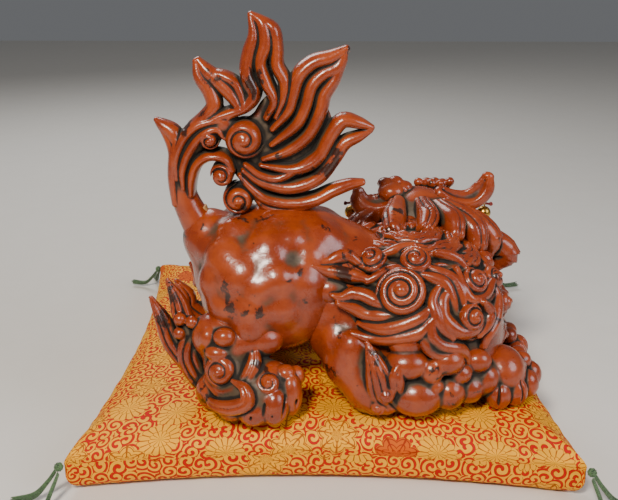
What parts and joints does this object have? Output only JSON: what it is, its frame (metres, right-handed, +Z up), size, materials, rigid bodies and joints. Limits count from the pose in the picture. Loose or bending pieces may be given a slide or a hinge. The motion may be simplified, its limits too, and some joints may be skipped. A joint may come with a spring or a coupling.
{
  "type": "foo dog statue",
  "caption": "Carved guardian lion in red-brown lacquer with a flame tail and small bells on a cord, resting on a square brocade cushion with corner tassels.",
  "frame": {"origin": "centre of the cushion underside, on the surface it stands on", "axes": "+Z up; +X from the tail to the chest; the head is turned to look along +Y"},
  "size_m": [0.5032, 0.5032, 0.371],
  "materials": {
    "brocade": "woven gold flowers on red silk",
    "wadding": "cotton wadding",
    "tassel_thread": "twisted green silk thread",
    "red_cord": "braided silk",
    "bell_pellet": "plain steel",
    "bell_brass": "polished",
    "dowel_wood": "bare turned wood",
    "teeth": "gilded over lacquer",
    "eye_glass": "polished inlay",
    "red_lacquer": "glossy red-brown lacquer over black, rubbed through in places"
  },
  "bodies": {
    "cushion": {"cushion_cover": "brocade", "cushion_filling": "wadding", "tassel_knot_back_left": "tassel_thread", "tassel_knot_back_right": "tassel_thread", "tassel_knot_front_left": "tassel_thread", "tassel_knot_front_right": "tassel_thread", "tassel_threads_back_left": "tassel_thread", "tassel_threads_back_right": "tassel_thread", "tassel_threads_front_left": "tassel_thread", "tassel_threads_front_right": "tassel_thread"},
    "bell_right": {"bell_upper_right": "bell_brass", "bell_lower_right": "bell_brass"},
    "pellet_right": {"bell_pellet_right": "bell_pellet"},
    "bell_left": {"bell_upper_left": "bell_brass", "bell_lower_left": "bell_brass"},
    "pellet_left": {"bell_pellet_left": "bell_pellet"},
    "bell_throat": {"bell_upper_throat": "bell_brass", "bell_lower_throat": "bell_brass"},
    "pellet_throat": {"bell_pellet_throat": "bell_pellet"},
    "statue": {"bell_cord": "red_cord", "cord_knots": "red_cord", "ear_pegs": "dowel_wood", "foreleg_dowels": "dowel_wood", "front_block": "red_lacquer", "head": "red_lacquer", "hind_leg_dowels": "dowel_wood", "left_ear": "red_lacquer", "left_eye": "eye_glass", "left_foreleg": "red_lacquer", "left_hind_leg": "red_lacquer", "lower_jaw": "red_lacquer", "lower_teeth": "teeth", "neck_tenon": "dowel_wood", "rear_block": "red_lacquer", "right_ear": "red_lacquer", "right_eye": "eye_glass", "right_foreleg": "red_lacquer", "right_hind_leg": "red_lacquer", "tail": "red_lacquer", "tail_tenon": "dowel_wood", "tongue": "red_lacquer", "upper_teeth": "teeth", "waist_dowels": "dowel_wood"}
  },
  "joints": [
    {"name": "statue_lift", "type": "slide", "parent": "cushion", "child": "statue", "axis": [0, 0, 1], "range_m": [0, 0.12]},
    {"name": "bell_swing_right", "type": "hinge", "parent": "statue", "child": "bell_right", "pos_m": [0.151, -0.016, 0.1893], "axis": [1, 0, 0], "range_deg": [-25, 25]},
    {"name": "pellet_roll_right", "type": "hinge", "parent": "bell_right", "child": "pellet_right", "pos_m": [0.151, -0.016, 0.18065], "axis": [1, 0, 0], "range_deg": [-70, 70]},
    {"name": "bell_swing_left", "type": "hinge", "parent": "statue", "child": "bell_left", "pos_m": [0.025, -0.016, 0.1893], "axis": [1, 0, 0], "range_deg": [-25, 25]},
    {"name": "pellet_roll_left", "type": "hinge", "parent": "bell_left", "child": "pellet_left", "pos_m": [0.025, -0.016, 0.18065], "axis": [1, 0, 0], "range_deg": [-70, 70]},
    {"name": "bell_swing_throat", "type": "hinge", "parent": "statue", "child": "bell_throat", "pos_m": [0.088, 0.05, 0.1123], "axis": [1, 0, 0], "range_deg": [-12, 30]},
    {"name": "pellet_roll_throat", "type": "hinge", "parent": "bell_throat", "child": "pellet_throat", "pos_m": [0.088, 0.05, 0.10365], "axis": [1, 0, 0], "range_deg": [-70, 70]}
  ]
}
